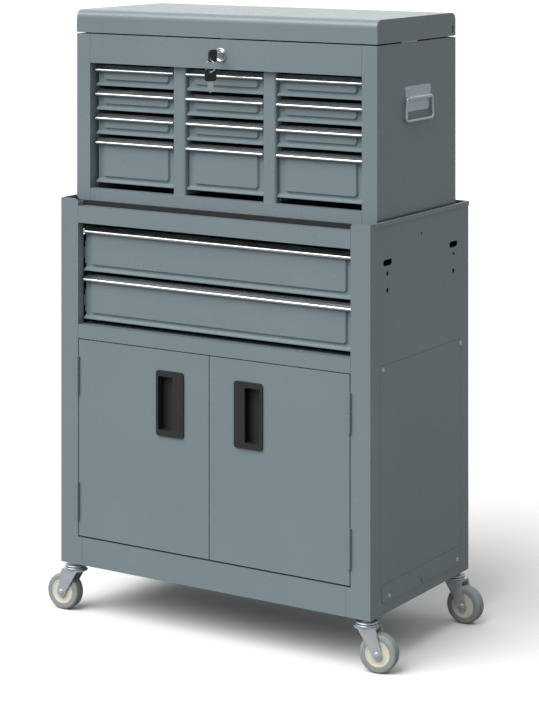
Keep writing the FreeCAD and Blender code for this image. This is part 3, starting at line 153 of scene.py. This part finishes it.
def metal(name, colour, roughness, grain=(1, 1, 1), grain_scale=400.0, depth=0.00002, metallic=1.0):
    """Bare or plated metal with a fine grain drawn along one axis."""
    shader = Shader(name)
    shader.set(Metallic=metallic)
    shader.tint(shader.spread(shader.noise(30.0, 4.0), 0.0, 1.0), scaled(colour, 0.9), colour)
    grained = shader.noise(grain_scale, 4.0, grain)
    shader.rough(shader.spread(grained, roughness - 0.06, roughness + 0.08))
    shader.bump(grained, depth, 0.5)
    return shader.material


def moulded(name, colour, roughness, scale=900.0, depth=0.00003):
    """Moulded plastic or rubber with a fine skin."""
    shader = Shader(name)
    cloud = shader.noise(40.0, 3.0)
    shader.tint(shader.spread(cloud, 0.0, 1.0), scaled(colour, 0.92), scaled(colour, 1.06))
    skin = shader.noise(scale, 3.0)
    shader.rough(shader.spread(skin, roughness - 0.05, roughness + 0.06))
    shader.bump(skin, depth, 0.5)
    return shader.material


paint = powder_coat("paint", PAINT)
trim_metal = metal("drawn_aluminium", ALUMINIUM, 0.26, grain=(0.02, 1, 1), grain_scale=900.0)
zinc = metal("zinc_plate", ZINC, 0.34, grain_scale=120.0, depth=0.000004, metallic=0.6)
bright_zinc = metal("bright_zinc", BRIGHT_ZINC, 0.26, grain_scale=160.0, depth=0.000003, metallic=0.55)
chrome = metal("chrome", CHROME, 0.12, grain_scale=200.0, depth=0.000005)
mat_rubber = moulded("mat_rubber", MAT_RUBBER, 0.7, 700.0, 0.00008)
black_plastic = moulded("black_plastic", BLACK_PLASTIC, 0.42)
tyre_rubber = moulded("tyre_rubber", TYRE, 0.6, 500.0, 0.00005)
hub_plastic = moulded("hub_plastic", HUB, 0.4)


# CAD nodes that keep their shape

EDGE_ANGLE = math.radians(40)
SHEET_EDGE = 0.45 * MM
METAL_EDGE = 0.3 * MM
CHROME_EDGE = 0.25 * MM
PLASTIC_EDGE = 0.9 * MM


def soften(piece, edge):
    """Round a piece's sharp edges to a width, or leave them where it is 0."""
    if not edge:
        return
    bevel = piece.modifiers.new("edges", "BEVEL")
    bevel.width = edge
    bevel.segments = 2
    bevel.limit_method = "ANGLE"
    bevel.angle_limit = EDGE_ANGLE
    bevel.harden_normals = True
    bevel.use_clamp_overlap = True


def finish_node(name, material, edge):
    """Give a CAD node its material and softened edges."""
    node = frame["nodes"][name]
    node.data.materials.clear()
    node.data.materials.append(material)
    soften(node, edge)


FINISHES = {
    "paint": (paint, SHEET_EDGE),
    "zinc": (zinc, METAL_EDGE),
    "trim": (trim_metal, METAL_EDGE),
    "bail_chrome": (bright_zinc, METAL_EDGE),
    "chrome": (chrome, CHROME_EDGE),
    "black_plastic": (black_plastic, PLASTIC_EDGE),
    "rubber_mat": (mat_rubber, 0.0),
    "wheel_rubber": (tyre_rubber, 0.0),
}

for part in frame["record"]["subparts"]:
    finish_node(part["node"], *FINISHES[part["material_slot"]])


# CAD nodes that hold more than one material are split into pieces

def piece_of(node_name, piece_name, faces, body, material, edge):
    """A new piece made of some of a CAD node's faces, which replaces the node with its like."""
    node = frame["nodes"][node_name]
    mesh = node.data.copy()
    mesh.name = piece_name
    work = bmesh.new()
    work.from_mesh(mesh)
    keep = set(faces)
    spare = [face for face in work.faces if face.index not in keep]
    bmesh.ops.delete(work, geom=spare, context="FACES")
    work.to_mesh(mesh)
    work.free()
    mesh.materials.clear()
    mesh.materials.append(material)
    piece = bpy.data.objects.new(piece_name, mesh)
    scene.collection.objects.link(piece)
    piece.matrix_world = node.matrix_world.copy()
    soften(piece, edge)
    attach(piece, body)
    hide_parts(node_name)


def split_by(name, body, test, first, second):
    """Two pieces of a node, by a test of each face's middle point; each has an ending of its
    name, a material and an edge."""
    mesh = frame["nodes"][name].data
    inside = [face.index for face in mesh.polygons if test(face.center)]
    outside = [face.index for face in mesh.polygons if not test(face.center)]
    for faces, (ending, material, edge) in ((inside, first), (outside, second)):
        piece_of(name, name + "_" + ending, faces, body, material, edge)


TRIM_LEG = 9.0 * MM
TRIM_REACH = 10.4 * MM
TRIM_PLATE = 2.2 * MM
HAIR = 0.05 * MM


def split_drawer(name):
    """A small drawer's aluminium pull, along its upper front edge, and its painted rest."""
    low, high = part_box(name)
    top = high[2]
    face = low[1] + TRIM_REACH

    def on_pull(point):
        in_front = point.z > top - TRIM_LEG - HAIR and point.y < face - HAIR
        on_top = point.z > top - TRIM_PLATE - HAIR and point.y < face + TRIM_LEG
        return in_front or on_top

    split_by(name, name, on_pull, ("pull", trim_metal, METAL_EDGE), ("painted", paint, SHEET_EDGE))


for column in ("left", "centre", "right"):
    for row in range(1, 5):
        split_drawer("drawer_%s_%d" % (column, row))


# Wheels and raceways, turned about their axles

def joint_of(body):
    """The joint that moves a body."""
    return [entry for entry in frame["joints"] if entry["child"] == body][0]


def turned_piece(name, outline, steps):
    """A solid of revolution about the Y axis, from an outline of radius and place along the axle."""
    work = bmesh.new()
    rings = []
    for step in range(steps):
        angle = 2 * math.pi * step / steps
        ring = []
        for radius, along in outline:
            ring.append(work.verts.new((radius * math.cos(angle), along, radius * math.sin(angle))))
        rings.append(ring)
    count = len(outline)
    for step in range(steps):
        here, there = rings[step], rings[(step + 1) % steps]
        for index in range(count):
            after = (index + 1) % count
            work.faces.new((here[index], here[after], there[after], there[index]))
    bmesh.ops.recalc_face_normals(work, faces=work.faces)
    mesh = bpy.data.meshes.new(name)
    work.to_mesh(mesh)
    work.free()
    for polygon in mesh.polygons:
        polygon.use_smooth = True
    piece = bpy.data.objects.new(name, mesh)
    scene.collection.objects.link(piece)
    return piece


def sharpen(piece, angle=35):
    """Keep the shading of a smooth piece crisp at its real corners, of this angle or more."""
    work = bmesh.new()
    work.from_mesh(piece.data)
    for edge in work.edges:
        if len(edge.link_faces) == 2 and edge.calc_face_angle(0) > math.radians(angle):
            edge.smooth = False
    work.to_mesh(piece.data)
    work.free()


def turned_at(name, outline, place, direction, material, body, steps=48):
    """A turned piece at a place, with its axis towards a direction."""
    piece = turned_piece(name, outline, steps)
    turn = Vector((0, 1, 0)).rotation_difference(Vector(direction).normalized()).to_matrix().to_4x4()
    piece.data.transform(Matrix.Translation(Vector(place)) @ turn)
    piece.data.materials.append(material)
    sharpen(piece)
    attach(piece, body)
    return piece


def bend(before, here, after, radius, steps):
    """The points of an arc that rounds the corner at a point between two others, in a plane."""
    here = Vector(here)
    back = (Vector(before) - here).normalized()
    ahead = (Vector(after) - here).normalized()
    half = back.angle(ahead) / 2
    centre = here + (back + ahead).normalized() * radius / math.sin(half)
    start = here + back * radius / math.tan(half) - centre
    leave = here + ahead * radius / math.tan(half) - centre
    sweep = start.angle_signed(leave)
    points = []
    for step in range(steps + 1):
        turned = start.copy()
        turned.rotate(Matrix.Rotation(-sweep * step / steps, 2))
        points.append(centre + turned)
    return points


def rounded(outline, radii):
    """A closed outline with its corners rounded: one radius for each point, or 0 to keep it sharp."""
    result = []
    for index, (point, radius) in enumerate(zip(outline, radii)):
        if radius:
            after = outline[(index + 1) % len(outline)]
            arc = bend(outline[index - 1], point, after, radius, 5)
            result.extend(tuple(place) for place in arc)
        else:
            result.append(tuple(Vector(point)))
    return result


def button(radius, height, foot=0.1 * MM):
    """The outline of a low domed head that sits on a face and reaches a foot's depth into it."""
    outline = [(0.02 * MM, -foot), (radius, -foot)]
    for step in range(7):
        angle = math.radians(88 * step / 6)
        outline.append((radius * math.cos(angle), height * (0.25 + 0.75 * math.sin(angle))))
    return outline


WHEEL_RADIUS = 31.0 * MM
WHEEL_HALF_WIDTH = 11.0 * MM
TYRE_INNER = 20.5 * MM
TYRE_SHOULDER = 4.0 * MM
TYRE_INSET = 0.4 * MM
HUB_RECESS = 0.8 * MM
HUB_RIM = TYRE_INNER - 2.0 * MM
HUB_RIM_INSET = 0.2 * MM
HUB_SEAT_INSET = 0.3 * MM
HUB_BOSS = 7.0 * MM
HUB_SLOPE = 0.6 * MM
BORE = 4.1 * MM
WHEEL_STEPS = 72


def dress_wheel(corner):
    """A castor wheel's grey tyre with round shoulders, on a cream hub with a shallow dish."""
    name = "wheel_" + corner
    low, high = (Vector(point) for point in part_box(name))
    half = WHEEL_HALF_WIDTH
    tyre_side = half - TYRE_INSET
    tyre = rounded(
        [(TYRE_INNER, -tyre_side), (WHEEL_RADIUS, -half), (WHEEL_RADIUS, half), (TYRE_INNER, tyre_side)],
        [0, TYRE_SHOULDER, TYRE_SHOULDER, 0])
    web = half - HUB_RECESS
    hub_side = [
        (BORE, half), (HUB_BOSS, half), (HUB_BOSS + HUB_SLOPE, web), (HUB_RIM - HUB_SLOPE, web),
        (HUB_RIM, half - HUB_RIM_INSET), (TYRE_INNER, half - HUB_SEAT_INSET)]
    hub = [(radius, -along) for radius, along in hub_side] + hub_side[::-1]
    for part, outline, material in (("tyre", tyre, tyre_rubber), ("hub", hub, hub_plastic)):
        piece = turned_at(name + "_" + part, outline, (low + high) / 2, joint_of(name)["axis"],
                          material, name, WHEEL_STEPS)
        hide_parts(name)


CORNERS = ("front_left", "front_right", "rear_left", "rear_right")
for corner in CORNERS:
    dress_wheel(corner)

RACE_INNER = 16.0 * MM
RACE_RADIUS = 18.1 * MM
RACE_ROLL = 1.3 * MM
RACES = (("lower", 73.1 * MM, 75.9 * MM), ("upper", 76.9 * MM, 79.7 * MM))
# Size of a thin black ring between the two races: painted shade in the gap where they part.
PAINTED_SHADE_RADIUS = 17.6 * MM
PAINTED_SHADE_LOW = 75.8 * MM
PAINTED_SHADE_HIGH = 77.0 * MM
AXLE_REACH = 15.6 * MM
AXLE_END_RADIUS = 4.5 * MM
AXLE_END_HEIGHT = 0.9 * MM
AXLE_END_FOOT = 0.9 * MM


def dress_castor_head(corner):
    """Two bright rolled rings round the bearing cup, a black ring of painted shade in the gap between them, and
    axle ends.
    """
    across, along = joint_of("fork_" + corner)["pos_m"][:2]
    place = (across, along, 0)
    name = "race_" + corner
    for part, low, high in RACES:
        outline = rounded(
            [(RACE_INNER, low), (RACE_RADIUS, low), (RACE_RADIUS, high), (RACE_INNER, high)],
            [0, RACE_ROLL, RACE_ROLL, 0])
        turned_at(name + "_" + part, outline, place, (0, 0, 1), bright_zinc, "trolley")
    # The gap between the races is filled by a black plastic ring: painted shade, not a part of the castor.
    painted_shade_band = [(RACE_INNER, PAINTED_SHADE_LOW), (PAINTED_SHADE_RADIUS, PAINTED_SHADE_LOW), (PAINTED_SHADE_RADIUS, PAINTED_SHADE_HIGH), (RACE_INNER, PAINTED_SHADE_HIGH)]
    turned_at(name + "_gap", painted_shade_band, place, (0, 0, 1), black_plastic, "trolley")
    roll = joint_of("wheel_" + corner)
    axle = Vector(roll["axis"]).normalized()
    axle_end = button(AXLE_END_RADIUS, AXLE_END_HEIGHT, AXLE_END_FOOT)
    for part, way in (("a", 1), ("b", -1)):
        end = Vector(roll["pos_m"]) + axle * way * AXLE_REACH
        turned_at("axle_%s_%s" % (corner, part), axle_end, end, axle * way, bright_zinc, "fork_" + corner)


for corner in CORNERS:
    dress_castor_head(corner)


# Round rods, the lock's bezel and small fasteners

def bent_route(corners):
    """Points of a route in a plane, each corner bent to its radius; a radius of 0 keeps a point."""
    points = []
    for index, (across, up, radius) in enumerate(corners):
        if radius:
            points.extend(bend(corners[index - 1][:2], (across, up), corners[index + 1][:2], radius, 6))
        else:
            points.append(Vector((across, up)))
    return points


def bent_rod(name, points, radius, across, up, place, material, body, sides=16):
    """A round rod along a plane route; across and up are the plane's directions."""
    across, up = Vector(across), Vector(up)
    out = across.cross(up).normalized()
    work = bmesh.new()
    rings = []
    for index, point in enumerate(points):
        before = points[max(index - 1, 0)]
        after = points[min(index + 1, len(points) - 1)]
        way = (after - before).normalized()
        side = across * -way.y + up * way.x
        middle = place + across * point.x + up * point.y
        ring = []
        for step in range(sides):
            angle = 2 * math.pi * step / sides
            spoke = side * math.cos(angle) + out * math.sin(angle)
            ring.append(work.verts.new(middle + spoke * radius))
        rings.append(ring)
    for here, there in zip(rings, rings[1:]):
        for step in range(sides):
            beside = (step + 1) % sides
            work.faces.new((here[step], here[beside], there[beside], there[step]))
    work.faces.new(rings[0])
    work.faces.new(rings[-1])
    bmesh.ops.recalc_face_normals(work, faces=work.faces)
    mesh = bpy.data.meshes.new(name)
    work.to_mesh(mesh)
    work.free()
    for polygon in mesh.polygons:
        polygon.use_smooth = True
    mesh.materials.append(material)
    piece = bpy.data.objects.new(name, mesh)
    scene.collection.objects.link(piece)
    sharpen(piece, 60)
    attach(piece, body)
    return piece


BAIL_END = 26.5 * MM
BAIL_SHOULDER = 42.6 * MM
BAIL_GRIP = 46.1 * MM
BAIL_DROP = -36.5 * MM
SHOULDER_BEND = 4.0 * MM
GRIP_BEND = 6.0 * MM
BAIL_ROUTE = (
    (-BAIL_END, 0, 0), (-BAIL_SHOULDER, 0, SHOULDER_BEND), (-BAIL_GRIP, BAIL_DROP, GRIP_BEND),
    (BAIL_GRIP, BAIL_DROP, GRIP_BEND), (BAIL_SHOULDER, 0, SHOULDER_BEND), (BAIL_END, 0, 0),
)
BAIL_ROD = 2.38 * MM
PLATE_FACE = 301.9 * MM
PLATE_RIVET = button(3.4 * MM, 1.3 * MM)
RIVET_ALONG = 33.5 * MM
RIVET_UPPER = 919.6 * MM
RIVET_LOWER = 893.6 * MM
PLATE_RIVETS = (
    (-RIVET_ALONG, RIVET_UPPER), (RIVET_ALONG, RIVET_UPPER),
    (-RIVET_ALONG, RIVET_LOWER), (RIVET_ALONG, RIVET_LOWER),
)


def dress_bail(way, side):
    """A bail of round rod in place of its CAD node, and the rivets of its plate."""
    place = Vector(joint_of("bail_" + way)["pos_m"])
    rod = bent_rod("bail_rod_" + way, bent_route(BAIL_ROUTE), BAIL_ROD, (0, 1, 0), (0, 0, 1),
                   place, bright_zinc, "bail_" + way)
    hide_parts("bail_" + way)
    for number, (along, height) in enumerate(PLATE_RIVETS, 1):
        spot = (side * PLATE_FACE, place.y + along, height)
        turned_at("plate_rivet_%s_%d" % (way, number), PLATE_RIVET, spot, (side, 0, 0),
                  bright_zinc, "trolley")


SIDES = (("left", -1), ("right", 1))
for way, side in SIDES:
    dress_bail(way, side)

RING_RADIUS = 9.2 * MM
RING_WIRE = 0.62 * MM


def dress_ring():
    """The ring that the keys hang on, of round wire; it hangs from its swing's axis."""
    swing = joint_of("key_ring")
    tangent = Vector(swing["axis"]).normalized()
    centre = Vector(swing["pos_m"]) - Vector((0, 0, RING_RADIUS))
    wire = []
    for step in range(12):
        angle = 2 * math.pi * step / 12
        wire.append((RING_RADIUS + RING_WIRE * math.cos(angle), RING_WIRE * math.sin(angle)))
    ring = turned_at("ring_wire", wire, centre, tangent.cross(Vector((0, 0, 1))), chrome, "key_ring", 64)
    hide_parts("key_ring")


dress_ring()


PLUG_BORE = 7.15 * MM
BARREL_RADIUS = 9.0 * MM
BARREL_END = 20.0 * MM
DIP_RADIUS = 9.9 * MM
DIP_BOTTOM = -1.3 * MM
BEZEL_RADIUS = 11.5 * MM
BEZEL_FACE = -2.6 * MM
DIP_ROLL = 0.3 * MM
BEZEL_ROLL = 1.1 * MM


def dress_lock():
    """The lock's chromed bezel, with a rolled rim and a face that dips to the plug."""
    outline = rounded(
        [(PLUG_BORE, BARREL_END), (PLUG_BORE, DIP_BOTTOM), (DIP_RADIUS, BEZEL_FACE),
         (BEZEL_RADIUS, BEZEL_FACE), (BEZEL_RADIUS, 0.0), (BARREL_RADIUS, 0.0),
         (BARREL_RADIUS, BARREL_END)],
        [0, 0, DIP_ROLL, BEZEL_ROLL, 0, 0, 0])
    place = joint_of("lock")["pos_m"]
    bezel = turned_at("lock_bezel", outline, place, (0, 1, 0), chrome, "trolley", 64)
    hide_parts("lock_barrel")


dress_lock()

SCREW_HEAD = button(3.6 * MM, 1.3 * MM)
PANEL_FACE = 308.0 * MM
STRIP_FACE = 309.2 * MM
SIDE_SCREWS = (
    ("panel_screw_front", PANEL_FACE, -126.6 * MM, 477.5 * MM),
    ("panel_screw_rear", PANEL_FACE, 139.7 * MM, 477.0 * MM),
    ("strip_screw_front", STRIP_FACE, -109.0 * MM, 111.5 * MM),
    ("strip_screw_rear", STRIP_FACE, 125.5 * MM, 112.5 * MM),
)

for name, out, along, height in SIDE_SCREWS:
    for way, side in SIDES:
        turned_at(name + "_" + way, SCREW_HEAD, (side * out, along, height), (side, 0, 0),
                  zinc, "trolley", 32)

KEY_HEAD = 22.6 * MM
SPARE_HEAD = 20.1 * MM
HEAD_EDGE = 0.6 * MM
BLADE_EDGE = 0.2 * MM


def split_keys():
    """Black moulded heads on steel blades."""
    head = ("head", black_plastic, HEAD_EDGE)
    blade = ("blade", zinc, BLADE_EDGE)
    head_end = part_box("key")[0][1] + KEY_HEAD
    split_by("key", "lock", lambda point: point.y < head_end, head, blade)
    head_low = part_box("spare_key")[1][2] - SPARE_HEAD
    split_by("spare_key", "spare_key", lambda point: point.z > head_low, head, blade)


split_keys()


# Floor, light and camera

FLOOR_HALF = 200.0
FLOOR_LEVEL = -0.2 * MM
SKY_STRENGTHS = (0.3, 0.62)
MIRROR_WAY = (-0.85, 0.0, 0.53)
MIRROR_STRENGTHS = (0.2, 1.0)


def studio_floor():
    """A floor that is white to the camera but for the trolley's shadow, and greyer as a light."""
    ways = ((-1, -1), (1, -1), (1, 1), (-1, 1))
    mesh = bpy.data.meshes.new("floor")
    mesh.from_pydata([(x * FLOOR_HALF, y * FLOOR_HALF, FLOOR_LEVEL) for x, y in ways], [], [(0, 1, 2, 3)])
    floor = bpy.data.objects.new("floor", mesh)
    scene.collection.objects.link(floor)
    shader = Shader("floor")
    shader.set(Roughness=0.9, Specular_IOR_Level=0.0)
    path = shader.nodes.new("ShaderNodeLightPath")
    shader.tint(path.outputs["Is Camera Ray"], FLOOR_AS_LIGHT, FLOOR)
    floor.data.materials.append(shader.material)


def studio_world():
    """White to the camera. As a light it is brighter above, in reflections darker on the right."""
    world = bpy.data.worlds.new("studio")
    world.use_nodes = True
    nodes = world.node_tree.nodes
    links = world.node_tree.links
    nodes.clear()
    place = nodes.new("ShaderNodeTexCoord").outputs["Generated"]

    def toward(way, low, high, start, end):
        """A strength that grows with how far a direction points a given way."""
        dot = nodes.new("ShaderNodeVectorMath")
        dot.operation = "DOT_PRODUCT"
        dot.inputs[1].default_value = way
        links.new(place, dot.inputs[0])
        spread = nodes.new("ShaderNodeMapRange")
        spread.inputs["From Min"].default_value = start
        spread.inputs["From Max"].default_value = end
        spread.inputs["To Min"].default_value = low
        spread.inputs["To Max"].default_value = high
        links.new(dot.outputs["Value"], spread.inputs["Value"])
        return spread.outputs["Result"]

    def background(strength):
        shade = nodes.new("ShaderNodeBackground")
        shade.inputs["Color"].default_value = (1, 1, 1, 1)
        if isinstance(strength, float):
            shade.inputs["Strength"].default_value = strength
        else:
            links.new(strength, shade.inputs["Strength"])
        return shade.outputs["Background"]

    def choose(ray, other, chosen):
        mix = nodes.new("ShaderNodeMixShader")
        links.new(path.outputs[ray], mix.inputs["Fac"])
        links.new(other, mix.inputs[1])
        links.new(chosen, mix.inputs[2])
        return mix.outputs["Shader"]

    path = nodes.new("ShaderNodeLightPath")
    light = background(toward((0, 0, 1), *SKY_STRENGTHS, 0.0, 0.8))
    mirrored = background(toward(MIRROR_WAY, *MIRROR_STRENGTHS, -0.45, 0.4))
    output = nodes.new("ShaderNodeOutputWorld")
    mixed = choose("Is Glossy Ray", light, mirrored)
    links.new(choose("Is Camera Ray", mixed, background(1.0)), output.inputs["Surface"])
    scene.world = world


def soft_sun(name, azimuth, elevation, level, spread):
    """A wide sun from the left of the front by its azimuth, with angles in degrees. Level 1
    lights a face it looks straight at as brightly as its colour."""
    light = bpy.data.lights.new(name, "SUN")
    light.energy = level * math.pi
    light.angle = math.radians(spread)
    lamp = bpy.data.objects.new(name, light)
    lamp.rotation_euler = (math.radians(90 - elevation), 0, math.radians(-azimuth))
    scene.collection.objects.link(lamp)


studio_floor()
studio_world()
soft_sun("key_light", 20, 50, 0.95, 55)

VIEW_AZIMUTH = math.radians(32.36)
CAMERA_PLACE = (2.1442, -3.3672, 1.2582)
FOCAL_PIXELS = 2320.1
FRAME_HEIGHT = 702
FRAME_WIDTH = 539
PRINCIPAL = (268.89, -116.5)
SENSOR_WIDTH = 36.0


def photo_camera():
    """A level camera whose frame is shifted down to the trolley, as in the photograph."""
    lens = bpy.data.cameras.new("photo_camera")
    lens.sensor_width = SENSOR_WIDTH
    lens.sensor_fit = "AUTO"
    lens.lens = FOCAL_PIXELS * SENSOR_WIDTH / FRAME_HEIGHT
    lens.shift_x = (FRAME_WIDTH / 2 - PRINCIPAL[0]) / FRAME_HEIGHT
    lens.shift_y = -(FRAME_HEIGHT / 2 - PRINCIPAL[1]) / FRAME_HEIGHT
    lens.clip_end = 100.0
    camera = bpy.data.objects.new("photo_camera", lens)
    camera.location = CAMERA_PLACE
    camera.rotation_euler = (math.pi / 2, 0, VIEW_AZIMUTH)
    scene.collection.objects.link(camera)
    scene.camera = camera


photo_camera()
scene.view_settings.view_transform = "Standard"
